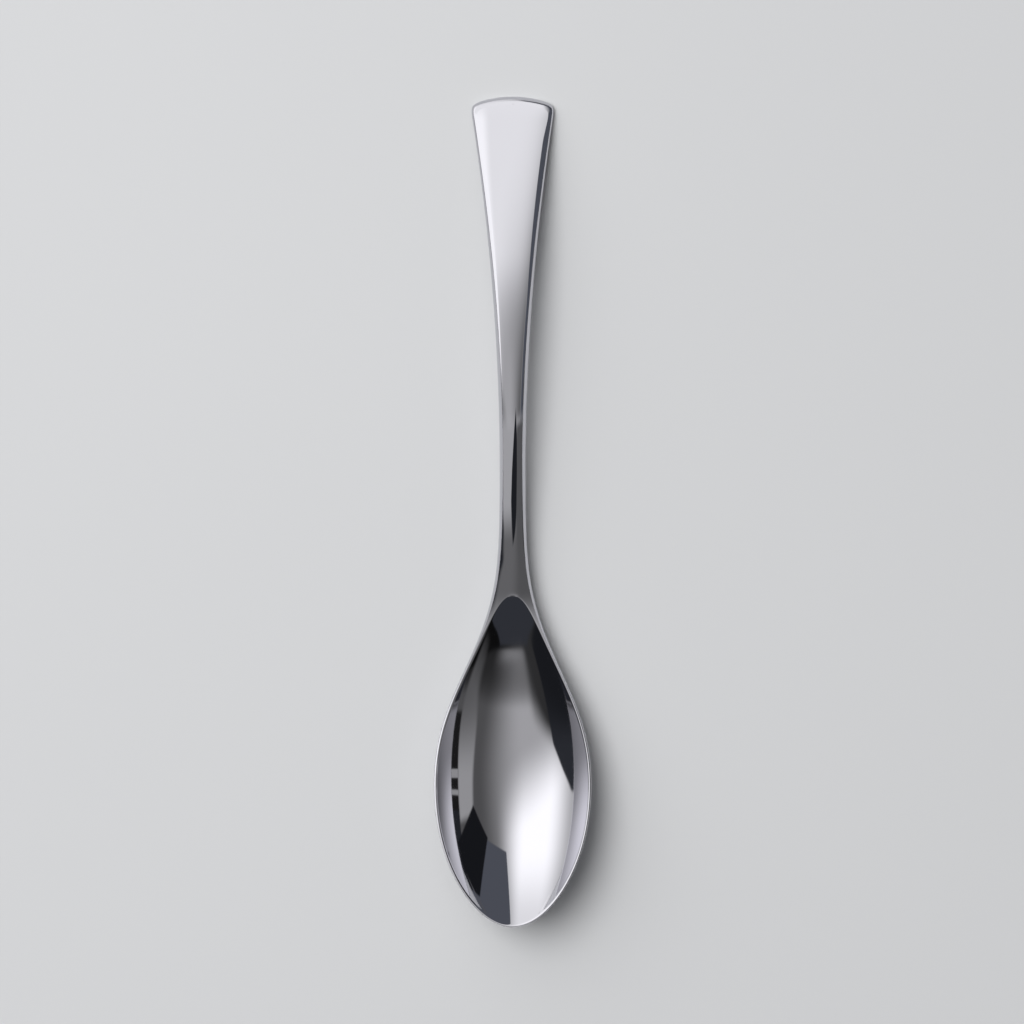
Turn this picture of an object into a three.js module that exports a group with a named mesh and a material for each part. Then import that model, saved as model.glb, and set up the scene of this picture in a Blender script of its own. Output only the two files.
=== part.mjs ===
// A quenelle spoon in polished steel: an egg-shaped bowl, a slim neck and a handle that flares to its end.
// It is one piece, in millimetres with +Z up. It lies bowl up on z = 0, its length along Y with the handle
// towards +Y, and the origin is on that plane, under the middle of its length.
import * as THREE from "three";
import { ParametricGeometry } from "three/addons/geometries/ParametricGeometry.js";
import { mergeGeometries, mergeVertices } from "three/addons/utils/BufferGeometryUtils.js";

// Plan. A station is a distance along the spoon, measured from the tip of the bowl.
const OVERALL_LENGTH = 200;
const BOWL_WIDTH = 38.1;
const WIDEST_STATION = 33.8;
const TIP_POINTEDNESS = 0.086;
const SHOULDER_LENGTH = 44.75;
const NECK_WIDTH = 6.3;
const NECK_STATION = 108.6;
const FLARE_WIDTH = 21.1;
const FLARE_POWER = 2.1;
const END_RADIUS = 25.8;
const CORNER_SHARPNESS = 8;

// Bowl. The hollow ends towards the neck in an arch, whose top is at the heel.
const BOWL_DEPTH = 9.6;
const BOWL_WALL = 1.2;
const BOWL_FULLNESS = 0.28;
const FULLNESS_FADE = 3;
const DEPTH_LEAN = 0.165;
const RIM_WIDTH = 0.6;
const RIM_THICKNESS = 0.9;
const RIM_BEVEL = 0.12;
const HEEL_STATION = 79.2;
const ARCH_LENGTH = 4.2;
const FOOT_WIDTH = 4.5;
const FOOT_TRIM = 0.3;

// Neck and handle. The face is crowned, and its edges roll over to the widest line of the sides.
const THICKENING_STATION = 45;
const NECK_THICKNESS = 3.2;
const END_THICKNESS = 2;
const NECK_CROWN = 1;
const END_CROWN = 0.4;
const NECK_BEVEL = 0.9;
const END_BEVEL = 1.65;
const BEVEL_START = 0.3;
const EDGE_SHARE = 0.62;
const BACK_FLATNESS = 6;

// Side view: how far the face rises above the rim's widest station, square to the bowl.
const TIP_RISE = 0.4;
const HEEL_RISE = 2;
const ARM_STATION = 126;
const ARM_RISE = 13.4;
const CREST_STATION = 164;
const CREST_RISE = 18.4;
const END_RISE = 16;
const END_SETTLING = 0.6;

// Steps along and across the surfaces.
const TIP_STEPS = 16;
const SHOULDER_STEPS = 22;
const HANDLE_STEPS = 26;
const END_STEPS = 10;
const HOLLOW_STEPS = 10;
const FACE_STEPS = 5;
const BEVEL_STEPS = 3;
const BACK_STEPS = 10;
const RESTING_STEPS = 200;
const HEEL_CROWDING = 1.3;
const WELD_DISTANCE = 0.002;

const bowlHalf = BOWL_WIDTH / 2;
const neckHalf = NECK_WIDTH / 2;
const flareHalf = FLARE_WIDTH / 2;
const hollowHalf = bowlHalf - RIM_WIDTH;
const hollowReach = WIDEST_STATION - RIM_WIDTH;
const bellyDepth = BOWL_DEPTH + BOWL_WALL - RIM_THICKNESS;
// The spoon stands on a small flat, trimmed off the belly as far out as this share of its half width.
const footShare = FOOT_WIDTH / BOWL_WIDTH;
const bevelStart = (BEVEL_START * Math.PI) / 2;
// The handle's end settles until the rounded edge of its back touches what the spoon lies on.
const endUnderside = END_RISE - END_THICKNESS + END_SETTLING;
// The shoulder leaves the widest station with the same curvature as the tip's egg.
const shoulderRound = WIDEST_STATION * Math.sqrt((2 * (bowlHalf - neckHalf)) / bowlHalf);

const ease = THREE.MathUtils.smootherstep;
const handleShare = (station) => ease(station, THICKENING_STATION, NECK_STATION);
const taperShare = (station) => ease(station, NECK_STATION, OVERALL_LENGTH);

// A natural cubic spline through points of station and height, so that the side view curves without a break.
function splineThrough(knots) {
  const last = knots.length - 1;
  const gap = (i) => knots[i + 1].x - knots[i].x;
  const grade = (i) => (knots[i + 1].y - knots[i].y) / gap(i);
  const pivot = [1];
  const bend = [0];
  for (let i = 1; i < last; i++) {
    const carried = i > 1 ? gap(i - 1) / pivot[i - 1] : 0;
    pivot[i] = 2 * (gap(i - 1) + gap(i)) - carried * gap(i - 1);
    bend[i] = 6 * (grade(i) - grade(i - 1)) - carried * bend[i - 1];
  }
  bend[last] = 0;
  for (let i = last - 1; i > 0; i--) {
    bend[i] = (bend[i] - gap(i) * bend[i + 1]) / pivot[i];
  }
  return (station) => {
    const next = knots.findIndex((knot, i) => i > 0 && station <= knot.x);
    const i = (next < 0 ? last : next) - 1;
    const after = (station - knots[i].x) / gap(i);
    const before = 1 - after;
    const straight = before * knots[i].y + after * knots[i + 1].y;
    const curved = (before ** 3 - before) * bend[i] + (after ** 3 - after) * bend[i + 1];
    return straight + (curved * gap(i) ** 2) / 6;
  };
}

const sideCurve = splineThrough([
  new THREE.Vector2(0, TIP_RISE),
  new THREE.Vector2(WIDEST_STATION, 0),
  new THREE.Vector2(HEEL_STATION, HEEL_RISE),
  new THREE.Vector2(ARM_STATION, ARM_RISE),
  new THREE.Vector2(CREST_STATION, CREST_RISE),
  new THREE.Vector2(OVERALL_LENGTH, END_RISE),
]);

// The egg round the tip: half an ellipse whose front is drawn in, as a point at an angle from the centreline.
function eggPoint(angle, half, reach) {
  const forward = Math.cos(angle);
  const across = half * Math.sin(angle) * (1 - TIP_POINTEDNESS * forward ** 3);
  return new THREE.Vector2(across, WIDEST_STATION - reach * forward);
}

// Half the width behind the widest station: the bowl's shoulder, the neck and the handle's flare.
function sideHalf(station) {
  const back = station - WIDEST_STATION;
  const shoulder = Math.exp(-((back / shoulderRound) ** 2) - (back / SHOULDER_LENGTH) ** 3);
  const flare = (Math.max(0, station - NECK_STATION) / (OVERALL_LENGTH - NECK_STATION)) ** FLARE_POWER;
  return neckHalf + (bowlHalf - neckHalf) * shoulder + (flareHalf - neckHalf) * flare;
}

// The same, closed by the shallow arc across the handle's end, with its two corners rounded.
function outlineHalf(station) {
  const arc = Math.sqrt(2 * END_RADIUS * (OVERALL_LENGTH - station));
  return (sideHalf(station) ** -CORNER_SHARPNESS + arc ** -CORNER_SHARPNESS) ** (-1 / CORNER_SHARPNESS);
}

// The hollow's share of its full depth along the centreline, which closes at the tip and at the heel.
function hollowShare(station) {
  if (station < WIDEST_STATION) {
    return 1 - ((WIDEST_STATION - station) / hollowReach) ** 2;
  }
  return 1 - Math.exp((station - HEEL_STATION) / ARCH_LENGTH);
}

// How the bowl grows shallower from the widest station towards the neck.
function shallowing(station, reach) {
  const back = Math.max(0, station - WIDEST_STATION) / reach;
  return (1 + back ** 2 / 2) ** -2;
}

// Half the width of a bowl surface where its full depth would carry it to the level of the rim.
function bowlSpan(station, half, reach, inset) {
  if (station < WIDEST_STATION) {
    return half * (1 - TIP_POINTEDNESS * ((WIDEST_STATION - station) / reach) ** 3);
  }
  return sideHalf(station) - inset;
}

// A share of the bowl's depth, made fuller towards the edge, and most of all where the bowl is deep.
function fullShare(share, deepness) {
  return share * (1 + BOWL_FULLNESS * deepness ** FULLNESS_FADE * (1 - share));
}

// The bowl is deepest a little ahead of its widest station.
function leaning(station) {
  return 1 - (DEPTH_LEAN * (station - WIDEST_STATION)) / hollowReach;
}

// Depth of the hollow below the rim: a rounded trough, closed at the tip and at the heel.
function hollowDepth(point) {
  const span = bowlSpan(point.y, hollowHalf, hollowReach, RIM_WIDTH);
  const deepness = shallowing(point.y, hollowReach);
  const share = deepness * (hollowShare(point.y) - (point.x / span) ** 2);
  return BOWL_DEPTH * leaning(point.y) * fullShare(share, deepness);
}

// Thickness from the face down to the back: the bowl's belly, running out into the plate of neck and handle.
function backDepth(point, outward) {
  if (point.y < WIDEST_STATION) {
    const forward = (WIDEST_STATION - point.y) / WIDEST_STATION;
    const across = point.x / bowlSpan(point.y, bowlHalf, WIDEST_STATION, 0);
    const share = fullShare(1 - forward ** 2 - across ** 2, 1);
    return RIM_THICKNESS + bellyDepth * leaning(point.y) * share;
  }
  const deepness = shallowing(point.y, WIDEST_STATION);
  const deepest = fullShare(deepness, deepness);
  const middle = plateThickness(point.y) + bellyDepth * leaning(point.y) * deepest;
  const round = fullShare(deepness * (1 - outward ** 2), deepness) / deepest;
  const flat = 1 - outward ** BACK_FLATNESS;
  const edge = edgeDepth(point.y);
  return edge + (middle - edge) * THREE.MathUtils.lerp(round, flat, handleShare(point.y));
}

// The steepest line from under the handle's end to the belly, on which the spoon lies.
function restingSlope() {
  let steepest = 0;
  for (let i = 0; i <= RESTING_STEPS; i++) {
    const under = new THREE.Vector2(0, (HEEL_STATION * i) / RESTING_STEPS);
    const rise = endUnderside - sideCurve(under.y) + backDepth(under, 0);
    steepest = Math.max(steepest, rise / (OVERALL_LENGTH - under.y));
  }
  return steepest;
}

// Height of the face along the centreline, and of the bowl's level rim, above the surface it lies on.
function faceLine(station) {
  const restingLine = endUnderside - lyingSlope * (OVERALL_LENGTH - station);
  return sideCurve(station) - restingLine - FOOT_TRIM;
}

// Thickness of the plate: thin at the rim, thickest at the neck, thinner again at the handle's end.
function plateThickness(station) {
  const handle = THREE.MathUtils.lerp(NECK_THICKNESS, END_THICKNESS, taperShare(station));
  return THREE.MathUtils.lerp(RIM_THICKNESS, handle, handleShare(station));
}

// How far below the face the sides are widest.
function edgeDepth(station) {
  return plateThickness(station) * THREE.MathUtils.lerp(1, EDGE_SHARE, handleShare(station));
}

// How far in from the widest line of the sides the face ends.
function bevelWidth(station) {
  const handle = THREE.MathUtils.lerp(NECK_BEVEL, END_BEVEL, taperShare(station));
  return THREE.MathUtils.lerp(RIM_BEVEL, handle, handleShare(station));
}

// Height of the face, which is level across the bowl's rim, round across the neck and flatter at the end.
function faceHeight(point) {
  const across = (point.x / sideHalf(Math.max(point.y, WIDEST_STATION))) ** 2;
  const taper = taperShare(point.y);
  const crown = THREE.MathUtils.lerp(NECK_CROWN, END_CROWN, taper) * ease(point.y, HEEL_STATION, ARM_STATION);
  return faceLine(point.y) + crown * (1 - across * THREE.MathUtils.lerp(1, across, taper));
}

// A rib crosses half the spoon in plan, from the centreline past the hollow's edge to the outline.
function makeRibs() {
  const ribs = [];
  const widest = new THREE.Vector2(0, WIDEST_STATION);
  for (let i = 0; i < TIP_STEPS; i++) {
    const angle = ((i / TIP_STEPS) * Math.PI) / 2;
    ribs.push({
      centre: widest,
      hollowEdge: eggPoint(angle, hollowHalf, hollowReach),
      outline: eggPoint(angle, bowlHalf, WIDEST_STATION),
    });
  }
  for (let i = 0; i <= SHOULDER_STEPS; i++) {
    const station = HEEL_STATION - (HEEL_STATION - WIDEST_STATION) * (1 - i / SHOULDER_STEPS) ** 2;
    const hollow = (sideHalf(station) - RIM_WIDTH) * Math.sqrt(hollowShare(station));
    ribs.push({
      centre: new THREE.Vector2(0, station),
      hollowEdge: new THREE.Vector2(hollow, station),
      outline: new THREE.Vector2(outlineHalf(station), station),
    });
  }
  const endCentre = new THREE.Vector2(0, OVERALL_LENGTH - flareHalf);
  for (let i = 1; i < HANDLE_STEPS; i++) {
    const station = THREE.MathUtils.lerp(HEEL_STATION, endCentre.y, (i / HANDLE_STEPS) ** HEEL_CROWDING);
    const centre = new THREE.Vector2(0, station);
    ribs.push({ centre, hollowEdge: centre, outline: new THREE.Vector2(outlineHalf(station), station) });
  }
  for (let i = 0; i <= END_STEPS; i++) {
    const station = OVERALL_LENGTH - flareHalf * (1 - i / END_STEPS) ** 2;
    const outline = new THREE.Vector2(outlineHalf(station), station);
    ribs.push({ centre: endCentre, hollowEdge: endCentre, outline });
  }
  return ribs;
}

// A rib's section outside the hollow: across the face, over the rolled edge and under to the centreline.
// The back is trimmed flat where it would reach below the surface that the spoon lies on.
function halfSection(rib) {
  const section = [];
  const bevel = rib.outline.clone().sub(rib.hollowEdge).setLength(bevelWidth(rib.outline.y));
  const faceEdge = rib.outline.clone().sub(bevel);
  for (let i = 0; i <= FACE_STEPS; i++) {
    const point = rib.hollowEdge.clone().lerp(faceEdge, i / FACE_STEPS);
    section.push(new THREE.Vector3(point.x, point.y, faceHeight(point)));
  }
  const sideHeight = faceLine(rib.outline.y) - edgeDepth(rib.outline.y);
  for (let i = 1; i < BEVEL_STEPS; i++) {
    const turn = THREE.MathUtils.lerp(bevelStart, Math.PI / 2, i / BEVEL_STEPS);
    const out = (Math.sin(turn) - Math.sin(bevelStart)) / (1 - Math.sin(bevelStart));
    const point = faceEdge.clone().lerp(rib.outline, out);
    const up = Math.cos(turn) / Math.cos(bevelStart);
    const height = THREE.MathUtils.lerp(sideHeight, faceHeight(faceEdge), up);
    section.push(new THREE.Vector3(point.x, point.y, height));
  }
  for (let i = 0; i <= BACK_STEPS; i++) {
    const towardsFoot = Math.cos(((i / (BACK_STEPS - 1)) * Math.PI) / 2);
    const outward = i < BACK_STEPS ? THREE.MathUtils.lerp(footShare, 1, towardsFoot) : 0;
    const point = rib.centre.clone().lerp(rib.outline, outward);
    const height = faceLine(point.y) - backDepth(point, outward);
    section.push(new THREE.Vector3(point.x, point.y, Math.max(height, 0)));
  }
  return section;
}

// Welds the surfaces into one closed skin and drops the triangles that collapse at the tip, heel and end.
function weld(surfaces) {
  for (const surface of surfaces) {
    surface.deleteAttribute("normal");
    surface.deleteAttribute("uv");
  }
  const skin = mergeVertices(mergeGeometries(surfaces), WELD_DISTANCE);
  const corners = skin.getIndex().array;
  const kept = [];
  for (let i = 0; i < corners.length; i += 3) {
    const triangle = Array.from(corners.slice(i, i + 3));
    if (new Set(triangle).size === 3) {
      kept.push(...triangle);
    }
  }
  skin.setIndex(kept);
  skin.computeVertexNormals();
  return skin;
}

function makeSpoon() {
  const ribs = makeRibs();
  const heelRib = TIP_STEPS + SHOULDER_STEPS;
  const lastRib = ribs.length - 1;
  const sections = ribs.map(halfSection);
  const middle = sections[0].length - 1;

  // The hollow, from one edge across to the other, which share their points with the face around it.
  const hollow = (across, along, target) => {
    const place = Math.round(along * heelRib);
    const side = 2 * across - 1;
    const point = ribs[place].centre.clone().lerp(ribs[place].hollowEdge, Math.abs(side));
    target.set(point.x, point.y, faceLine(point.y) - hollowDepth(point));
    if (Math.abs(side) === 1) {
      target.copy(sections[place][0]);
    }
    target.x *= Math.sign(side);
  };

  // Everything else: each section, from the face round to the back, and its mirror image.
  const outside = (around, along, target) => {
    const section = sections[Math.round(along * lastRib)];
    const place = Math.round(around * 2 * middle);
    const mirrored = place > middle;
    target.copy(section[mirrored ? 2 * middle - place : place]);
    target.x *= mirrored ? -1 : 1;
  };

  const skin = weld([
    new ParametricGeometry(hollow, 2 * HOLLOW_STEPS, heelRib),
    new ParametricGeometry(outside, 2 * middle, lastRib),
  ]);
  skin.translate(0, -OVERALL_LENGTH / 2, 0);
  const polishedSteel = new THREE.MeshStandardMaterial({ color: 0xc8cbd0, metalness: 1, roughness: 0.1 });
  const spoon = new THREE.Mesh(skin, polishedSteel);
  spoon.name = "spoon";
  return spoon;
}

const lyingSlope = restingSlope();
const group = new THREE.Group();
group.add(makeSpoon());

export default group;
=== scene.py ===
"""A polished steel quenelle spoon, lying bowl up on a pale floor under soft studio light."""

import functools
import logging
import math
from collections.abc import Iterable
from dataclasses import dataclass, field
from enum import Enum

import bpy
import numpy as np
from mathutils import Euler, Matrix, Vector


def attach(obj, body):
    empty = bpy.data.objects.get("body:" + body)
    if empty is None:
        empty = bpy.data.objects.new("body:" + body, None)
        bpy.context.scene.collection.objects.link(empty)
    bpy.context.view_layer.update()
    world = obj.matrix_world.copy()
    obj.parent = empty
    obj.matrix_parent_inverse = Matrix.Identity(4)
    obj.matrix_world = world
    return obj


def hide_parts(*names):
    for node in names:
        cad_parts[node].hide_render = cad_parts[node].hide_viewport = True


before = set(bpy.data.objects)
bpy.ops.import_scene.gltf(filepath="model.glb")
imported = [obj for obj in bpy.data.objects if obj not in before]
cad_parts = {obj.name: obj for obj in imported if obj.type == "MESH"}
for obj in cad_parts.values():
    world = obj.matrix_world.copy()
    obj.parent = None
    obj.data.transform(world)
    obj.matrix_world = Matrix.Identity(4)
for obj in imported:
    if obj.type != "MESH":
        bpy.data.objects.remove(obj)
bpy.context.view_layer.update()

LOG = logging.getLogger("spoon")
MILLIMETRE = 0.001
SENSOR_WIDTH = 36.0
LEAST_SINE = 0.0001
TINY = 1e-9

Array = np.ndarray
Colour = tuple[float, float, float]
Point = tuple[float, float]
Socket = bpy.types.NodeSocket
Value = Socket | float | Colour


def ease(value: Array, start: float, end: float) -> Array:
    """Step from 0 to 1 with no break in slope or curvature.

    Args:
        value: Where to read the step.
        start: Where it leaves 0.
        end: Where it reaches 1.

    Returns:
        The step's height at each value.
    """
    share = np.clip((value - start) / (end - start), 0.0, 1.0)
    return share**3 * (share * (6.0 * share - 15.0) + 10.0)


def blend(first: Array | float, second: Array | float, share: Array) -> Array:
    """Mix two values.

    Args:
        first: The value at a share of 0.
        second: The value at a share of 1.
        share: How much of the second value to take.

    Returns:
        The mixed value.
    """
    return first + (second - first) * share


@dataclass(frozen=True)
class SideView:
    """The face's height along the spoon, as a natural cubic spline through a few stations."""

    stations: tuple[float, ...]
    rises: tuple[float, ...]

    def bends(self) -> Array:
        """Solve for the curvature at each station.

        Returns:
            The second derivative at each station, which is 0 at both ends.
        """
        place = np.array(self.stations)
        gap = np.diff(place)
        grade = np.diff(np.array(self.rises)) / gap
        inner = np.diag(2.0 * (gap[:-1] + gap[1:])) + np.diag(gap[1:-1], 1) + np.diag(gap[1:-1], -1)
        return np.concatenate([[0.0], np.linalg.solve(inner, 6.0 * np.diff(grade)), [0.0]])

    def height(self, station: Array) -> Array:
        """Read the spline.

        Args:
            station: Distances from the tip, in millimetres.

        Returns:
            The face's rise above the rim's widest station.
        """
        place = np.array(self.stations)
        rise = np.array(self.rises)
        bend = self.bends()
        left = np.clip(np.searchsorted(place, station) - 1, 0, len(place) - 2)
        gap = place[left + 1] - place[left]
        after = (station - place[left]) / gap
        before = 1.0 - after
        curved = (before**3 - before) * bend[left] + (after**3 - after) * bend[left + 1]
        return before * rise[left] + after * rise[left + 1] + curved * gap**2 / 6.0


@dataclass(frozen=True)
class SpoonForm:
    """The spoon's surfaces, in millimetres. A station is a distance along it from the tip of the bowl."""

    length: float = 200.0
    bowl_half: float = 19.05
    widest: float = 33.8
    pointedness: float = 0.086
    shoulder_length: float = 44.75
    neck_half: float = 3.15
    neck: float = 108.6
    flare_half: float = 10.55
    flare_power: float = 2.1
    end_radius: float = 25.8
    corner_sharpness: float = 8.0
    bowl_depth: float = 9.6
    bowl_wall: float = 1.2
    fullness: float = 0.28
    fullness_fade: float = 3.0
    depth_lean: float = 0.165
    rim_width: float = 0.6
    rim_thickness: float = 0.9
    rim_bevel: float = 0.15
    lip: float = 0.25
    rim_roll: float = 0.3
    rim_end: float = 75.0
    heel: float = 79.2
    arch: float = 4.2
    foot_trim: float = 0.3
    thickening: float = 45.0
    neck_thickness: float = 3.2
    end_thickness: float = 2.0
    neck_crown: float = 1.0
    end_crown: float = 0.4
    neck_bevel: float = 0.9
    end_bevel: float = 1.65
    bevel_start: float = 0.3
    edge_share: float = 0.62
    back_flatness: float = 6.0
    end_settling: float = 0.6
    arm: float = 126.0
    side_view: SideView = SideView((0.0, 33.8, 79.2, 126.0, 164.0, 200.0), (0.4, 0.0, 2.0, 13.4, 18.4, 16.0))

    @property
    def hollow_half(self) -> float:
        """Half the hollow's greatest width."""
        return self.bowl_half - self.rim_width

    @property
    def hollow_reach(self) -> float:
        """How far the hollow reaches forward of the widest station."""
        return self.widest - self.rim_width

    @property
    def belly_depth(self) -> float:
        """How far the belly hangs below the underside of the rim."""
        return self.bowl_depth + self.bowl_wall - self.rim_thickness

    @property
    def end_centre(self) -> float:
        """The station that the ribs of the handle's end fan out from."""
        return self.length - self.flare_half

    def handle_share(self, station: Array) -> Array:
        """Give 0 in the bowl, 1 from the neck on."""
        return ease(station, self.thickening, self.neck)

    def taper_share(self, station: Array) -> Array:
        """Give 0 up to the neck, 1 at the handle's end."""
        return ease(station, self.neck, self.length)

    def side_half(self, station: Array) -> Array:
        """Give half the width behind the widest station, before the end is closed.

        A bell curve draws the shoulder in to the neck, and a power of the distance flares the handle.

        Args:
            station: Distances from the tip.

        Returns:
            Half the width at each.
        """
        back = station - self.widest
        rounding = self.widest * math.sqrt(2.0 * (self.bowl_half - self.neck_half) / self.bowl_half)
        shoulder = np.exp(-((back / rounding) ** 2) - np.maximum(back / self.shoulder_length, -1.0) ** 3)
        run = np.maximum(0.0, station - self.neck) / (self.length - self.neck)
        flare = (self.flare_half - self.neck_half) * run**self.flare_power
        return self.neck_half + (self.bowl_half - self.neck_half) * shoulder + flare

    def outline_half(self, station: Array) -> Array:
        """Give half the width, closed at the handle's end by a shallow arc with rounded corners.

        Args:
            station: Distances from the tip, behind the widest station.

        Returns:
            Half the width at each.
        """
        arc = np.sqrt(2.0 * self.end_radius * np.maximum(self.length - station, TINY))
        sharp = self.corner_sharpness
        return (self.side_half(station) ** -sharp + arc**-sharp) ** (-1.0 / sharp)

    def shallowing(self, station: Array, reach: float) -> Array:
        """Give how the bowl grows shallower from the widest station towards the neck."""
        back = np.maximum(0.0, station - self.widest) / reach
        return (1.0 + back**2 / 2.0) ** -2.0

    def full_share(self, share: Array, deepness: Array) -> Array:
        """Make a share of the bowl's depth fuller towards the edge, most where the bowl is deep."""
        return share * (1.0 + self.fullness * deepness**self.fullness_fade * (1.0 - share))

    def leaning(self, station: Array) -> Array:
        """Give the factor that makes the bowl deepest a little ahead of its widest station."""
        return 1.0 - self.depth_lean * (station - self.widest) / self.hollow_reach

    def hollow_depth(self, across: Array, station: Array) -> Array:
        """Give the depth of the hollow below the face, negative outside it.

        A rounded trough: a share that falls with the square of the distance from the middle, closed at
        the tip by a square and at the heel by an exponential, then made fuller towards the edge.

        Args:
            across: Distances from the centreline.
            station: Distances from the tip.

        Returns:
            The depth at each point.
        """
        forward = (self.widest - station) / self.hollow_reach
        closing = 1.0 - np.exp(np.minimum((station - self.heel) / self.arch, 3.0))
        share = np.where(station < self.widest, 1.0 - forward**2, closing)
        egg = self.hollow_half * (1.0 - self.pointedness * np.maximum(forward, 0.0) ** 3)
        span = np.where(station < self.widest, egg, self.side_half(station) - self.rim_width)
        deepness = self.shallowing(station, self.hollow_reach)
        level = deepness * (share - (across / span) ** 2)
        return self.bowl_depth * self.leaning(station) * self.full_share(level, deepness)

    def plate_thickness(self, station: Array) -> Array:
        """Give the plate's thickness: thin at the rim, thickest at the neck, thinner at the end."""
        handle = blend(self.neck_thickness, self.end_thickness, self.taper_share(station))
        return blend(self.rim_thickness, handle, self.handle_share(station))

    def edge_depth(self, station: Array) -> Array:
        """Give how far below the face the sides are widest."""
        return self.plate_thickness(station) * blend(1.0, self.edge_share, self.handle_share(station))

    def bevel_width(self, station: Array) -> Array:
        """Give how far in from the widest line the face ends."""
        handle = blend(self.neck_bevel, self.end_bevel, self.taper_share(station))
        return blend(self.rim_bevel, handle, self.handle_share(station))

    def back_depth(self, across: Array, station: Array, outward: Array) -> Array:
        """Give the thickness from the face down to the back.

        In front of the widest station it is the belly's trough. Behind, the belly's round section runs
        out into the flatter section of the plate.

        Args:
            across: Distances from the centreline.
            station: Distances from the tip.
            outward: Shares of the way from the centreline to the outline.

        Returns:
            The thickness at each point.
        """
        forward = np.maximum(0.0, (self.widest - station) / self.widest)
        span = self.bowl_half * (1.0 - self.pointedness * forward**3)
        share = self.full_share(1.0 - forward**2 - (across / span) ** 2, np.ones_like(station))
        belly = self.belly_depth * self.leaning(station)
        front = self.rim_thickness + belly * share
        deepness = self.shallowing(station, self.widest)
        deepest = self.full_share(deepness, deepness)
        middle = self.plate_thickness(station) + belly * deepest
        rounded = self.full_share(deepness * (1.0 - outward**2), deepness) / deepest
        flat = 1.0 - outward**self.back_flatness
        edge = self.edge_depth(station)
        behind = edge + (middle - edge) * blend(rounded, flat, self.handle_share(station))
        return np.where(station < self.widest, front, behind)

    def lying_slope(self) -> float:
        """Find the steepest line from under the handle's end to the belly, on which the spoon lies.

        Returns:
            The line's slope.
        """
        station = np.linspace(0.0, self.heel, 201)
        none = np.zeros_like(station)
        rise = self.end_underside() - self.side_view.height(station) + self.back_depth(none, station, none)
        return float((rise / (self.length - station)).max())

    def end_underside(self) -> float:
        """Give the height, before it is laid down, at which the handle's end touches."""
        return self.side_view.rises[-1] - self.end_thickness + self.end_settling

    def face_line(self, station: Array) -> Array:
        """Give the height of the face along the centreline, above the surface that the spoon lies on."""
        resting = self.end_underside() - self.lying_slope() * (self.length - station)
        return self.side_view.height(station) - resting - self.foot_trim

    def face_height(self, across: Array, station: Array) -> Array:
        """Give the height of the face: level across the rim, round across the neck, flatter at the end.

        Args:
            across: Distances from the centreline.
            station: Distances from the tip.

        Returns:
            The height at each point.
        """
        share = (across / self.side_half(np.maximum(station, self.widest))) ** 2
        taper = self.taper_share(station)
        crown = blend(self.neck_crown, self.end_crown, taper) * ease(station, self.heel, self.arm)
        return self.face_line(station) + crown * (1.0 - share * blend(1.0, share, taper))

    def top_height(self, across: Array, station: Array) -> Array:
        """Give the height of the face with the hollow sunk in it, over a rolled lip.

        The lip is the greater of the hollow's depth and 0, rounded where the two meet. Outside it the rim
        falls with the square of the distance, so that it is a round bead.

        Args:
            across: Distances from the centreline.
            station: Distances from the tip.

        Returns:
            The height at each point.
        """
        depth = self.hollow_depth(across, station)
        rolled = (depth + self.lip) ** 2 / (4.0 * self.lip)
        sunk = np.where(depth > self.lip, depth, np.where(depth < -self.lip, 0.0, rolled))
        outside = np.clip(-depth, 0.0, 1.0) ** 2 * (1.0 - ease(station, self.thickening, self.rim_end))
        return self.face_height(across, station) - sunk - self.rim_roll * outside


@dataclass(frozen=True)
class RibSteps:
    """How many ribs cross each stretch, how many points each stretch of a rib has, and how they crowd."""

    tip: int = 96
    shoulder: int = 110
    handle: int = 130
    end: int = 60
    top: int = 52
    bevel: int = 10
    back: int = 24
    shoulder_crowding: float = 1.6
    end_crowding: float = 2.0
    worn: float = 4.0
    weld_decimals: int = 5


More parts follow.
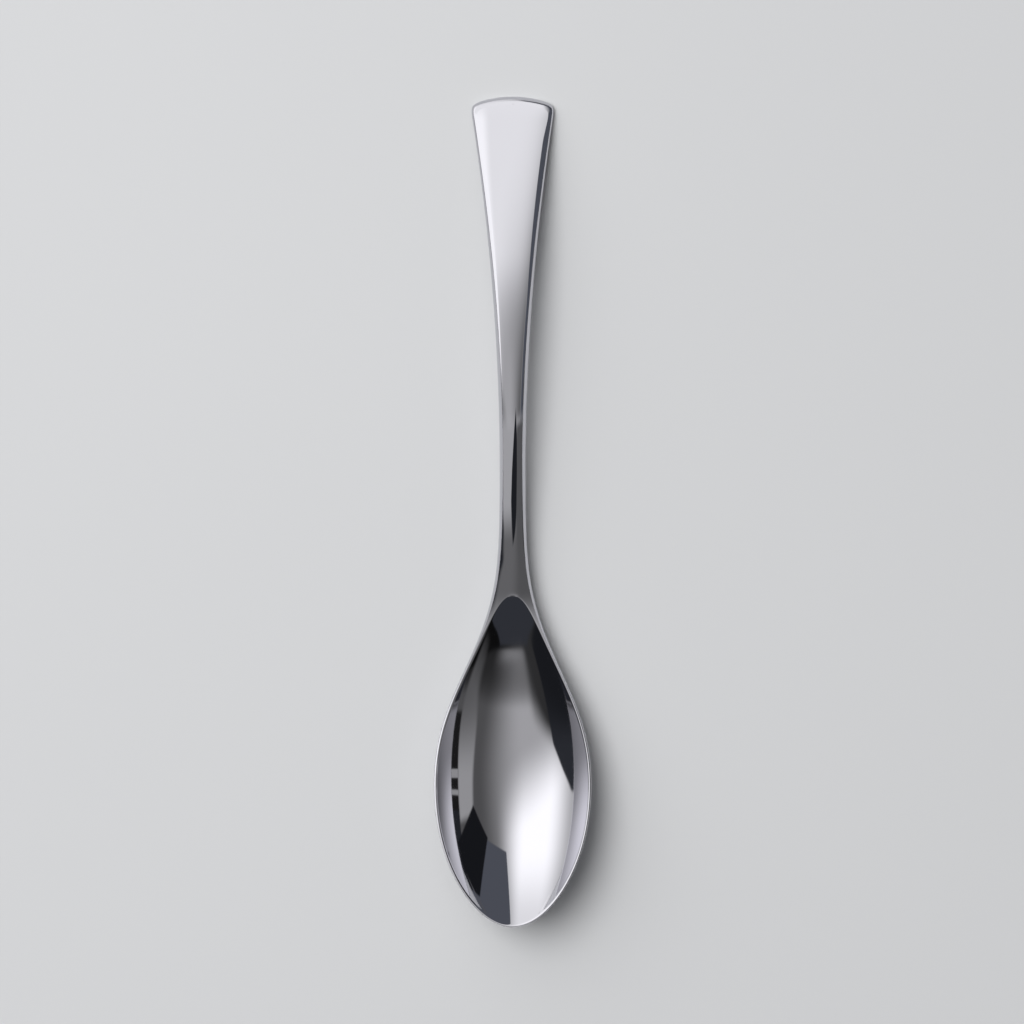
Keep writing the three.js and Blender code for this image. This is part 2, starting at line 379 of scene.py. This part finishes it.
class NodeTree:
    """Short ways to add and join shader nodes."""

    def __init__(self, tree: bpy.types.NodeTree) -> None:
        """Keep the tree that the nodes go in."""
        self.tree = tree

    def add(self, kind: str) -> bpy.types.Node:
        """Add a node of a kind."""
        return self.tree.nodes.new(kind)

    def first(self, kind: str) -> bpy.types.Node:
        """Find the tree's first node of a type."""
        return next(node for node in self.tree.nodes if node.type == kind)

    def join(self, source: Socket, target: Socket) -> None:
        """Join an output to an input."""
        self.tree.links.new(source, target)

    def feed(self, value: Value, target: Socket) -> None:
        """Set an input, from an output or to a constant.

        Args:
            value: An output to join, a number or a colour.
            target: The input to set.
        """
        if isinstance(value, Socket):
            self.join(value, target)
        else:
            target.default_value = (*value, 1.0) if isinstance(value, tuple) else value

    def place(self) -> Socket:
        """Add the place on the object, in metres."""
        return self.add("ShaderNodeTexCoord").outputs["Object"]

    def maths(self, operation: str, *values: Value) -> Socket:
        """Add one step of arithmetic.

        Args:
            operation: The name of the operation.
            values: Its operands.

        Returns:
            The result's socket.
        """
        node = self.add("ShaderNodeMath")
        node.operation = operation
        for value, target in zip(values, node.inputs):
            self.feed(value, target)
        return node.outputs[0]

    def product(self, *values: Value) -> Socket:
        """Multiply values together."""
        return functools.reduce(functools.partial(self.maths, "MULTIPLY"), values)

    def scaled(self, vector: Socket, factor: Value) -> Socket:
        """Multiply a vector by a number.

        Args:
            vector: The vector.
            factor: The number.

        Returns:
            The longer or shorter vector's socket.
        """
        node = self.add("ShaderNodeVectorMath")
        node.operation = "SCALE"
        self.join(vector, node.inputs[0])
        self.feed(factor, node.inputs["Scale"])
        return node.outputs["Vector"]

    def length(self, vector: Socket) -> Socket:
        """Measure a vector.

        Args:
            vector: The vector.

        Returns:
            Its length's socket.
        """
        node = self.add("ShaderNodeVectorMath")
        node.operation = "LENGTH"
        self.join(vector, node.inputs[0])
        return node.outputs["Value"]

    def reach(self, vector: Socket, normal: Array) -> Socket:
        """Measure how far a vector goes along a direction in its first two coordinates.

        Args:
            vector: The vector.
            normal: The direction.

        Returns:
            The distance's socket.
        """
        node = self.add("ShaderNodeVectorMath")
        node.operation = "DOT_PRODUCT"
        self.join(vector, node.inputs[0])
        node.inputs[1].default_value = (normal[0], normal[1], 0.0)
        return node.outputs["Value"]

    def split(self, vector: Socket) -> tuple[Socket, ...]:
        """Take a vector apart.

        Args:
            vector: The vector.

        Returns:
            The sockets of its three parts.
        """
        node = self.add("ShaderNodeSeparateXYZ")
        self.join(vector, node.inputs[0])
        return tuple(node.outputs)

    def colour(self, parts: Iterable[Socket]) -> Socket:
        """Make a colour.

        Args:
            parts: Its levels of red, green and blue.

        Returns:
            The colour's socket.
        """
        node = self.add("ShaderNodeCombineColor")
        for part, target in zip(parts, node.inputs):
            self.join(part, target)
        return node.outputs[0]

    def mix(self, share: Socket, under: Value, over: Value) -> Socket:
        """Mix two colours.

        Args:
            share: How much of the second colour to take.
            under: The first colour.
            over: The second colour.

        Returns:
            The mixed colour's socket.
        """
        node = self.add("ShaderNodeMix")
        node.data_type = "RGBA"
        self.join(share, node.inputs["Factor"])
        for value, target in zip((under, over), (part for part in node.inputs if part.type == "RGBA")):
            self.feed(value, target)
        return next(part for part in node.outputs if part.type == "RGBA")

    def show(self, share: Socket, first: Socket, second: Socket) -> None:
        """Show a mix of two shaders as the material's surface.

        Args:
            share: How much of the second shader to take.
            first: The first shader.
            second: The second shader.
        """
        node = self.add("ShaderNodeMixShader")
        for source, target in zip((share, first, second), node.inputs):
            self.join(source, target)
        self.join(node.outputs[0], self.first("OUTPUT_MATERIAL").inputs["Surface"])

    def noise(self, place: Socket, scale: tuple[float, float, float], detail: float) -> Socket:
        """Add noise that is stretched along the axes.

        Args:
            place: Where to read it.
            scale: How many waves a metre it has along each axis.
            detail: How many finer layers it has.

        Returns:
            The noise's socket.
        """
        stretch = self.add("ShaderNodeMapping")
        stretch.inputs["Scale"].default_value = scale
        self.join(place, stretch.inputs["Vector"])
        node = self.add("ShaderNodeTexNoise")
        node.inputs["Scale"].default_value = 1.0
        node.inputs["Detail"].default_value = detail
        self.join(stretch.outputs["Vector"], node.inputs["Vector"])
        return node.outputs["Fac"]


@dataclass(frozen=True)
class Fade:
    """A smooth step from one value to another, read along one coordinate."""

    start: float
    end: float
    low: float = 0.0
    high: float = 1.0

    def read(self, tree: NodeTree, value: Socket) -> Socket:
        """Add the step.

        Args:
            tree: The nodes to add to.
            value: What the step is read along.

        Returns:
            The step's socket.
        """
        node = tree.add("ShaderNodeMapRange")
        node.interpolation_type = "SMOOTHSTEP"
        node.inputs["From Min"].default_value = self.start
        node.inputs["From Max"].default_value = self.end
        node.inputs["To Min"].default_value = self.low
        node.inputs["To Max"].default_value = self.high
        tree.join(value, node.inputs["Value"])
        return node.outputs["Result"]


@dataclass(frozen=True)
class SteelFinish:
    """Mirror-polished steel with fine polishing marks along the spoon and softly worn edges."""

    name: str = "polished_steel"
    colour: Colour = (0.60, 0.596, 0.633)
    roughness: float = 0.035
    haze: float = 0.03
    wear: float = 0.10
    smear_scale: tuple[float, float, float] = (60.0, 18.0, 60.0)
    smear_start: float = 0.42
    smear_end: float = 0.72
    mark_scale: tuple[float, float, float] = (5200.0, 60.0, 5200.0)
    mark_strength: float = 0.012
    mark_height: float = 0.00002

    def build(self) -> bpy.types.Material:
        """Make the material.

        Returns:
            A metal whose roughness varies with smears, fine marks and the wear of its edges.
        """
        material = bpy.data.materials.new(self.name)
        material.use_nodes = True
        tree = NodeTree(material.node_tree)
        shader = tree.first("BSDF_PRINCIPLED")
        tree.feed(self.colour, shader.inputs["Base Color"])
        shader.inputs["Metallic"].default_value = 1.0
        place = tree.place()
        smears = tree.noise(place, self.smear_scale, detail=3.0)
        marks = tree.noise(place, self.mark_scale, detail=2.0)
        worn = tree.add("ShaderNodeAttribute")
        worn.attribute_name = "edge"
        smeared = Fade(self.smear_start, self.smear_end, self.roughness, self.roughness + self.haze)
        edged = tree.product(worn.outputs["Fac"], self.wear)
        tree.join(tree.maths("ADD", smeared.read(tree, smears), edged), shader.inputs["Roughness"])
        bump = tree.add("ShaderNodeBump")
        bump.inputs["Strength"].default_value = self.mark_strength
        bump.inputs["Distance"].default_value = self.mark_height
        tree.join(marks, bump.inputs["Height"])
        tree.join(bump.outputs["Normal"], shader.inputs["Normal"])
        return material


@dataclass(frozen=True)
class Ribs:
    """Points in plan that each rib runs through, from the centreline out, as arrays of across and station."""

    centre: Array
    hollow_edge: Array
    outline: Array


@dataclass(frozen=True)
class Skin:
    """The spoon's closed skin in metres, with the wear of each point and whether it lies on a crease."""

    points: Array
    triangles: Array
    wear: Array
    crease: Array


@dataclass
class Spoon:
    """The whole spoon: bowl, heel, neck and handle in one closed skin."""

    form: SpoonForm = field(default_factory=SpoonForm)
    steps: RibSteps = field(default_factory=RibSteps)
    finish: SteelFinish = field(default_factory=SteelFinish)

    def ribs(self) -> Ribs:
        """Lay the ribs across half the spoon, from the tip to the handle's end.

        Round the tip they follow angles of the egg, behind it stations, and at the end they fan out again.

        Returns:
            The ribs.
        """
        form, steps = self.form, self.steps
        turn = np.arange(steps.tip) / steps.tip * math.pi / 2.0
        draw = np.sin(turn) * (1.0 - form.pointedness * np.cos(turn) ** 3)
        tip_hollow = np.stack([form.hollow_half * draw, form.widest - form.hollow_reach * np.cos(turn)], 1)
        tip_outline = np.stack([form.bowl_half * draw, form.widest - form.widest * np.cos(turn)], 1)
        tip_centre = np.stack([0.0 * turn, 0.0 * turn + form.widest], 1)
        back = (1.0 - np.arange(steps.shoulder + 1) / steps.shoulder) ** steps.shoulder_crowding
        shoulder = form.heel - (form.heel - form.widest) * back
        handle = blend(form.heel, form.end_centre, np.arange(1, steps.handle) / steps.handle)
        left = (1.0 - np.arange(steps.end + 1) / steps.end) ** steps.end_crowding
        end = form.length - form.flare_half * left
        station = np.concatenate([shoulder, handle, end])
        middle = np.minimum(station, form.end_centre)
        closing = np.maximum(1.0 - np.exp((station - form.heel) / form.arch), 0.0)
        hollow = (form.side_half(station) - form.rim_width) * np.sqrt(closing)
        none = 0.0 * station
        return Ribs(
            np.concatenate([tip_centre, np.stack([none, middle], 1)]),
            np.concatenate([tip_hollow, np.stack([hollow, middle], 1)]),
            np.concatenate([tip_outline, np.stack([form.outline_half(station), station], 1)]),
        )

    def half_rings(self) -> tuple[Array, Array]:
        """Carry each rib round from the top's centreline to the back's.

        The top is read at level rows out to the face's edge. A quarter of an ellipse rolls over from there
        to the widest line, and the back follows the rib in to the centreline, trimmed flat at the floor.

        Returns:
            Points by rib and by place on the ring, in millimetres, and how near each is to a worn edge.
        """
        form, steps = self.form, self.steps
        ribs = self.ribs()
        outline = ribs.outline
        out = outline - ribs.hollow_edge
        out /= np.maximum(np.linalg.norm(out, axis=1), TINY)[:, None]
        edge = outline - out * form.bevel_width(outline[:, 1])[:, None]
        share = np.sin(np.linspace(0.0, math.pi / 2.0, steps.top + 1))[None, :]
        across = edge[:, :1] * share
        station = np.broadcast_to(edge[:, 1:], across.shape)
        top = np.stack([across, station, form.top_height(across, station)], 2)
        start = form.bevel_start * math.pi / 2.0
        turn = np.linspace(start, math.pi / 2.0, steps.bevel + 1)[1:]
        run = ((np.sin(turn) - math.sin(start)) / (1.0 - math.sin(start)))[None, :, None]
        plan = blend(edge[:, None, :], outline[:, None, :], run)
        side = (form.face_line(outline[:, 1]) - form.edge_depth(outline[:, 1]))[:, None]
        drop = (np.cos(turn) / math.cos(start))[None, :]
        rolled = np.maximum(blend(side, top[:, -1:, 2], drop), 0.0)
        bevel = np.concatenate([plan, rolled[:, :, None]], 2)
        outward = np.cos(np.linspace(0.0, math.pi / 2.0, steps.back + 1))[1:]
        under = blend(ribs.centre[:, None, :], outline[:, None, :], outward[None, :, None])
        reach = np.broadcast_to(outward[None, :], under.shape[:2])
        low = form.face_line(under[..., 1]) - form.back_depth(under[..., 0], under[..., 1], reach)
        back = np.concatenate([under, np.maximum(low, 0.0)[:, :, None]], 2)
        points = np.concatenate([top, bevel, back], 1)
        near = np.abs(np.arange(points.shape[1]) - steps.top) / steps.worn
        worn = np.broadcast_to(np.exp(-(near**2))[None, :], points.shape[:2])
        return points, worn

    def skin(self) -> Skin:
        """Mirror the half rings, join each to the next with triangles and weld the points that coincide.

        Returns:
            The closed skin.
        """
        points, worn = self.half_rings()
        ring = np.concatenate([points, points[:, -2:0:-1] * np.array([-1.0, 1.0, 1.0])], 1)
        wear = np.concatenate([worn, worn[:, -2:0:-1]], 1)
        rows, columns = wear.shape
        crease = np.zeros((rows, columns), bool)
        crease[:, [self.steps.top, columns - self.steps.top]] = True
        number = np.arange(rows * columns).reshape(rows, columns)
        after = np.roll(number, -1, 1)
        corners = np.stack([number[:-1], number[1:], after[1:], after[:-1]], 2).reshape(-1, 4)
        triangles = np.concatenate([corners[:, [0, 2, 1]], corners[:, [0, 3, 2]]])
        flat = ring.reshape(-1, 3)
        rounded = np.round(flat, self.steps.weld_decimals)
        _, first, welded = np.unique(rounded, axis=0, return_index=True, return_inverse=True)
        triangles = welded.reshape(-1)[triangles]
        triangles = triangles[(triangles != triangles[:, [1, 2, 0]]).all(1)]
        middle = np.array([0.0, self.form.length / 2.0, 0.0])
        places = (flat[first] - middle) * MILLIMETRE
        return Skin(places, triangles, wear.reshape(-1)[first], crease.reshape(-1)[first])

    def build(self) -> bpy.types.Object:
        """Put the skin in a mesh and dress it.

        Returns:
            The finished spoon.
        """
        skin = self.skin()
        mesh = bpy.data.meshes.new("spoon_skin")
        mesh.from_pydata(skin.points, [], skin.triangles)
        mesh.polygons.foreach_set("use_smooth", np.ones(len(skin.triangles), bool))
        layer = mesh.attributes.new("edge", "FLOAT", "POINT")
        layer.data.foreach_set("value", skin.wear.astype(np.float32))
        ends = np.zeros(2 * len(mesh.edges), np.int32)
        mesh.edges.foreach_get("vertices", ends)
        sharp = mesh.attributes.new("sharp_edge", "BOOLEAN", "EDGE")
        sharp.data.foreach_set("value", skin.crease[ends.reshape(-1, 2)].all(1))
        mesh.update()
        mesh.validate()
        mesh.materials.append(self.finish.build())
        spoon = bpy.data.objects.new("polished_spoon", mesh)
        bpy.context.scene.collection.objects.link(spoon)
        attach(spoon, "root")
        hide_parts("spoon")
        return spoon

    def facing(self) -> Euler:
        """Give the turn that looks square on to the bowl's rim."""
        return Euler((-math.atan(self.form.lying_slope()), 0.0, 0.0))


class Tone(Enum):
    """The tint of a studio panel."""

    NEUTRAL = (1.0, 1.0, 1.0)
    COOL = (0.90, 0.97, 1.15)


@dataclass(frozen=True)
class Panel:
    """A card or softbox of the studio, as a convex outline in a plane of two coordinates.

    In the surroundings they are angles in degrees from the direction of the camera: right, then towards
    the handle. On the near card they are millimetres. The brightness may fade along the second coordinate.
    """

    corners: tuple[Point, ...]
    level: float | Fade
    softness: float
    tone: Tone = Tone.NEUTRAL

    def mask(self, tree: NodeTree, place: Socket) -> Socket:
        """Add the nodes that tell where the panel is seen: inside each of its edges.

        Args:
            tree: The nodes to add to.
            place: The two coordinates.

        Returns:
            A socket that is 1 inside the outline, 0 outside it.
        """
        corner = np.array(self.corners)
        along = np.roll(corner, -1, 0) - corner
        inward = np.stack([-along[:, 1], along[:, 0]], 1)
        inward /= np.linalg.norm(inward, axis=1)[:, None]
        inward *= np.sign(along[0, 0] * along[1, 1] - along[0, 1] * along[1, 0])
        edges = (corner * inward).sum(1)
        steps = [Fade(edge - self.softness, edge + self.softness) for edge in edges]
        reaches = [tree.reach(place, normal) for normal in inward]
        return tree.product(*(step.read(tree, reach) for step, reach in zip(steps, reaches)))

    def cover(self, tree: NodeTree, place: Socket, mask: Socket, under: Socket) -> Socket:
        """Lay the panel over what is behind it.

        Args:
            tree: The nodes to add to.
            place: The two coordinates.
            mask: Where the panel is seen.
            under: The colour behind it.

        Returns:
            The colour with the panel in front.
        """
        if isinstance(self.level, Fade):
            level = self.level.read(tree, tree.split(place)[1])
            return tree.mix(mask, under, tree.colour(tree.product(level, part) for part in self.tone.value))
        return tree.mix(mask, under, tuple(self.level * part for part in self.tone.value))


@dataclass(frozen=True)
class Softbox:
    """The large softbox on the left and the dull studio round it, as brightness over angles in degrees.

    The softbox fades to the right, to the horizon on the left, and along a slant towards the tip. Low
    behind the tip the studio falls dark, along an edge that bends with the square of the distance to the
    side, and a thin light strip stands on that edge.
    """

    level: float = 0.82
    slant: float = 0.3
    bend: float = 0.0017
    right_side: Fade = Fade(-16.0, 22.0, 1.0, 0.0)
    horizon: Fade = Fade(-88.0, -46.0, 0.35, 1.0)
    near_side: Fade = Fade(-14.0, 20.0)
    far_side: Fade = Fade(25.0, 70.0, 1.0, 0.55)
    dullness: Fade = Fade(-14.0, 43.0, 0.41, 0.085)
    dusk: Fade = Fade(-32.0, -28.0, 0.26, 1.0)
    dark: Fade = Fade(-32.9, -32.5, 0.2, 1.0)
    strip_foot: Fade = Fade(-32.8, -32.4)
    strip_top: Fade = Fade(-32.0, -31.4, 0.13, 0.0)
    strip_sides: Fade = Fade(10.0, 45.0, 1.0, 0.0)

    def brightness(self, tree: NodeTree, place: Socket) -> Socket:
        """Add the nodes of the open studio.

        Args:
            tree: The nodes to add to.
            place: The direction seen, as angles.

        Returns:
            The brightness in that direction.
        """
        right, along, _ = tree.split(place)
        bent = tree.maths("ADD", along, tree.product(right, right, self.bend))
        slanted = tree.maths("SUBTRACT", along, tree.product(right, self.slant))
        sideways = tree.maths("ABSOLUTE", right)
        horizon = self.horizon.read(tree, right)
        window = tree.product(self.near_side.read(tree, slanted), self.far_side.read(tree, along))
        bright = tree.product(self.right_side.read(tree, right), horizon, window, self.level)
        dim = tree.product(self.dusk.read(tree, bent), self.dark.read(tree, bent))
        dull = tree.product(self.dullness.read(tree, right), horizon, dim)
        strip = tree.product(self.strip_foot.read(tree, bent), self.strip_top.read(tree, bent))
        lit = tree.product(strip, self.strip_sides.read(tree, sideways))
        return tree.maths("ADD", dull, tree.maths("ADD", bright, lit))


@dataclass
class NearCard:
    """A card close above the neck and handle, which only they mirror, in millimetres.

    It is clear between its panels, and fades out at its low end, towards the bowl.
    """

    power: float
    height: float = 20.0
    outline: tuple[Point, ...] = (
        (160.0, 150.0),
        (-120.0, 150.0),
        (-120.0, 6.0),
        (-60.0, 4.0),
        (-60.0, -6.0),
        (-14.0, -8.0),
        (-6.5, -16.0),
        (-7.0, -30.0),
        (7.0, -30.0),
        (6.5, -16.0),
        (14.0, -10.0),
        (80.0, -10.0),
        (160.0, 10.0),
    )
    low_end: Fade = Fade(-30.0, -22.0, 1.0, 0.0)
    panels: tuple[Panel, ...] = (
        # Soft light over the handle's end
        Panel(((-60.0, 52.0), (2.5, 52.0), (40.0, 190.0), (-60.0, 190.0)), 0.90, 14.0),
        # White strip along the handle's left edge
        Panel(
            ((-160.0, 190.0), (-9.0, 190.0), (-8.0, 45.0), (-10.5, 28.0), (-18.5, 8.3), (-160.0, 6.0)),
            1.1,
            2.0,
        ),
        # Dark band along the handle's right edge
        Panel(
            (
                (60.0, 140.0),
                (200.0, 140.0),
                (200.0, 12.0),
                (9.0, 12.0),
                (7.3, 40.0),
                (7.5, 53.0),
                (9.2, 82.0),
                (11.6, 98.0),
            ),
            0.085,
            0.9,
            Tone.COOL,
        ),
        # Grey of the neck, darker towards the heel
        Panel(
            ((-80.0, 19.0), (90.0, 19.0), (90.0, -40.0), (-80.0, -40.0)),
            Fade(-13.0, -3.0, 0.14, 0.40),
            4.0,
        ),
        # Darker right half of the neck
        Panel(
            ((4.0, 19.0), (200.0, 19.0), (200.0, -40.0), (-0.2, -40.0), (0.6, -12.0), (2.3, 4.0)),
            0.095,
            2.0,
        ),
        # Dark stripe along the neck's left edge
        Panel(
            (
                (-80.0, 26.0),
                (-24.0, 9.0),
                (-8.1, -3.8),
                (-4.5, -9.6),
                (-2.6, -16.0),
                (-5.5, -30.0),
                (-80.0, -30.0),
            ),
            0.022,
            0.5,
            Tone.COOL,
        ),
        # Dark lens in the middle of the neck
        Panel(
            (
                (3.1, 24.0),
                (-0.8, 5.6),
                (-1.4, -2.6),
                (0.1, -13.2),
                (1.1, -11.0),
                (2.9, -5.2),
                (4.9, 5.4),
                (5.0, 14.0),
            ),
            0.015,
            0.35,
            Tone.COOL,
        ),
        # Light behind the handle's end
        Panel(((-40.0, 104.0), (12.0, 104.0), (34.0, 190.0), (-40.0, 190.0)), 0.92, 3.0),
    )

    def build(self) -> bpy.types.Object:
        """Hang the card where only polished faces see it.

        Returns:
            The card.
        """
        plan = np.array(self.outline)
        points = np.concatenate([plan, np.full((len(plan), 1), self.height)], 1) * MILLIMETRE
        mesh = bpy.data.meshes.new("near_card")
        mesh.from_pydata(points, [], [range(len(plan))])
        material = bpy.data.materials.new("near_card")
        material.use_nodes = True
        tree = NodeTree(material.node_tree)
        tree.tree.nodes.remove(tree.first("BSDF_PRINCIPLED"))
        place = tree.scaled(tree.place(), 1.0 / MILLIMETRE)
        colour = tree.add("ShaderNodeRGB").outputs[0]
        clear: Value = 1.0
        for panel in self.panels:
            mask = panel.mask(tree, place)
            colour = panel.cover(tree, place, mask, colour)
            clear = tree.product(tree.maths("SUBTRACT", 1.0, mask), clear)
        ended = self.low_end.read(tree, tree.split(place)[1])
        glow = tree.add("ShaderNodeEmission")
        glow.inputs["Strength"].default_value = self.power
        tree.join(colour, glow.inputs["Color"])
        nothing = tree.add("ShaderNodeBsdfTransparent")
        tree.show(tree.maths("MAXIMUM", clear, ended), glow.outputs[0], nothing.outputs[0])
        mesh.materials.append(material)
        card = bpy.data.objects.new("near_card", mesh)
        card.visible_camera = False
        card.visible_diffuse = False
        card.visible_shadow = False
        bpy.context.scene.collection.objects.link(card)
        return card


@dataclass
class Studio:
    """The floor, the surroundings that the steel mirrors, the lamp and the camera, in metres."""

    facing: Euler
    power: float = 1.35
    floor_half: float = 3.0
    floor_colour: Colour = (0.60, 0.605, 0.615)
    floor_roughness: float = 0.9
    floor_shine: float = 0.1
    floor_fade: Fade = Fade(0.22, 1.3)
    backdrop: Colour = (0.80, 0.80, 0.80)
    lamp_place: tuple[float, float, float] = (-0.5, 0.3, 1.2)
    lamp_size: float = 0.9
    lamp_watts: float = 12.0
    view_middle: tuple[float, float, float] = (-0.00016, -0.001, 0.006)
    view_distance: float = 3.0
    view_width: float = 0.2468
    softbox: Softbox = Softbox()
    panels: tuple[Panel, ...] = (
        # Soft dark on the left, low behind the tip
        Panel(((-160.0, -22.0), (-52.0, -22.0), (-27.0, -31.5), (-34.0, -140.0), (-160.0, -140.0)), 0.03, 7.0),
        # Dark field that the heel mirrors
        Panel(
            (
                (-38.0, -35.6),
                (-20.0, -33.8),
                (0.0, -33.1),
                (20.0, -33.8),
                (33.0, -35.0),
                (62.0, -44.0),
                (110.0, -64.0),
                (110.0, -140.0),
                (-110.0, -140.0),
                (-110.0, -64.0),
                (-66.0, -44.5),
            ),
            0.036,
            0.3,
            Tone.COOL,
        ),
        # Grey screen that the bowl's left side mirrors
        Panel(
            ((52.0, 10.0), (73.0, 14.0), (73.0, -43.0), (57.0, -37.0), (50.0, -30.0), (48.5, -21.0)),
            Fade(-42.0, -4.0, 0.10, 0.33),
            2.5,
        ),
        # Dark wedge that the bowl's right side mirrors
        Panel(
            (
                (-80.0, 1.0),
                (-66.0, -8.7),
                (-53.0, -21.0),
                (-50.0, -37.8),
                (-66.0, -44.5),
                (-110.0, -62.0),
                (-160.0, -80.0),
                (-160.0, 1.0),
            ),
            Fade(-38.0, -20.0, 0.012, 0.028),
            1.2,
            Tone.COOL,
        ),
        # Blue-grey screen that the bowl's tip mirrors
        Panel(
            ((9.0, 25.7), (39.2, 19.8), (80.0, 30.0), (80.0, 72.0), (4.2, 72.0), (4.5, 68.0)),
            0.09,
            0.6,
            Tone.COOL,
        ),
        # Black stand on the right with two light bars across it
        Panel(((73.0, 8.0), (110.0, 8.0), (110.0, 50.0), (73.0, 50.0)), 0.02, 0.8, Tone.COOL),
        Panel(((73.0, -34.0), (110.0, -38.0), (110.0, 9.0), (73.0, 9.0)), 0.012, 0.8),
        Panel(((73.0, -9.5), (110.0, -9.5), (110.0, -5.0), (73.0, -5.0)), 0.30, 0.5),
        Panel(((73.0, 0.2), (110.0, 0.2), (110.0, 2.4), (73.0, 2.4)), 0.30, 0.5),
        # Black spike beside the blue-grey screen
        Panel(
            ((34.0, 19.5), (51.3, 5.7), (79.5, 24.5), (76.0, 36.0), (70.5, 49.0), (57.0, 54.0)),
            0.010,
            0.8,
            Tone.COOL,
        ),
    )

    def add_floor(self) -> bpy.types.Object:
        """Lay a plain pale floor, which runs out into the backdrop far from the spoon.

        Returns:
            The floor.
        """
        half = self.floor_half
        corners = [(-half, -half, 0.0), (half, -half, 0.0), (half, half, 0.0), (-half, half, 0.0)]
        mesh = bpy.data.meshes.new("floor")
        mesh.from_pydata(corners, [], [(0, 1, 2, 3)])
        material = bpy.data.materials.new("floor")
        material.use_nodes = True
        tree = NodeTree(material.node_tree)
        shader = tree.first("BSDF_PRINCIPLED")
        tree.feed(self.floor_colour, shader.inputs["Base Color"])
        shader.inputs["Roughness"].default_value = self.floor_roughness
        shader.inputs["Specular IOR Level"].default_value = self.floor_shine
        far = self.floor_fade.read(tree, tree.length(tree.place()))
        glow = tree.add("ShaderNodeEmission")
        tree.feed(self.backdrop, glow.inputs["Color"])
        seen = tree.add("ShaderNodeLightPath").outputs["Is Camera Ray"]
        tree.show(tree.product(far, seen), shader.outputs[0], glow.outputs[0])
        mesh.materials.append(material)
        floor = bpy.data.objects.new("floor", mesh)
        bpy.context.scene.collection.objects.link(floor)
        return floor

    def add_lamp(self) -> bpy.types.Object:
        """Hang a wide lamp that lights the floor and isn't mirrored in the steel.

        Returns:
            The lamp.
        """
        light = bpy.data.lights.new("overhead", "AREA")
        light.shape = "DISK"
        light.size = self.lamp_size
        light.energy = self.lamp_watts
        lamp = bpy.data.objects.new("overhead", light)
        place = Vector(self.lamp_place)
        lamp.location = place
        lamp.rotation_euler = (-place).to_track_quat("-Z", "Y").to_euler()
        lamp.visible_glossy = False
        lamp.visible_camera = False
        bpy.context.scene.collection.objects.link(lamp)
        return lamp

    def angles(self, tree: NodeTree) -> Socket:
        """Turn the direction seen into angles from the direction of the camera.

        Args:
            tree: The world's nodes.

        Returns:
            A vector of two angles in degrees: right, then towards the handle.
        """
        turn = tree.add("ShaderNodeMapping")
        turn.vector_type = "POINT"
        turn.inputs["Rotation"].default_value = (-self.facing.x, 0.0, 0.0)
        tree.join(tree.add("ShaderNodeTexCoord").outputs["Generated"], turn.inputs["Vector"])
        ahead = tree.split(turn.outputs["Vector"])[2]
        aside = tree.maths("SQRT", tree.maths("SUBTRACT", 1.0, tree.maths("POWER", ahead, 2.0)))
        tilt = tree.maths("DEGREES", tree.maths("ARCCOSINE", ahead))
        scale = tree.maths("DIVIDE", tilt, tree.maths("MAXIMUM", aside, LEAST_SINE))
        return tree.scaled(turn.outputs["Vector"], scale)

    def add_world(self) -> None:
        """Surround the spoon with the studio, which the camera itself sees as a plain pale backdrop."""
        world = bpy.data.worlds.new("studio")
        bpy.context.scene.world = world
        world.use_nodes = True
        tree = NodeTree(world.node_tree)
        place = self.angles(tree)
        colour = tree.colour([self.softbox.brightness(tree, place)] * 3)
        for panel in self.panels:
            colour = panel.cover(tree, place, panel.mask(tree, place), colour)
        seen = tree.add("ShaderNodeLightPath").outputs["Is Camera Ray"]
        shown = tree.mix(seen, colour, tuple(part / self.power for part in self.backdrop))
        background = tree.first("BACKGROUND")
        background.inputs["Strength"].default_value = self.power
        tree.join(shown, background.inputs["Color"])

    def add_camera(self) -> bpy.types.Object:
        """Look down on the spoon, square on to the bowl's rim.

        Returns:
            The camera.
        """
        lens = bpy.data.cameras.new("camera")
        lens.sensor_width = SENSOR_WIDTH
        lens.lens = SENSOR_WIDTH * self.view_distance / self.view_width
        lens.clip_start = 0.01
        camera = bpy.data.objects.new("camera", lens)
        camera.rotation_euler = self.facing
        place = Vector(self.view_middle) + Vector((0.0, 0.0, self.view_distance))
        place.rotate(self.facing)
        camera.location = place
        bpy.context.scene.collection.objects.link(camera)
        bpy.context.scene.camera = camera
        return camera


def main() -> None:
    """Build the spoon and its studio."""
    logging.basicConfig(level=logging.INFO)
    spoon = Spoon()
    piece = spoon.build()
    LOG.info("%s: %d triangles", piece.name, len(piece.data.polygons))
    studio = Studio(spoon.facing())
    studio.add_floor()
    NearCard(studio.power).build()
    studio.add_lamp()
    studio.add_world()
    studio.add_camera()
    bpy.context.scene.view_settings.view_transform = "Standard"
    bpy.context.view_layer.update()


if __name__ == "__main__":
    main()
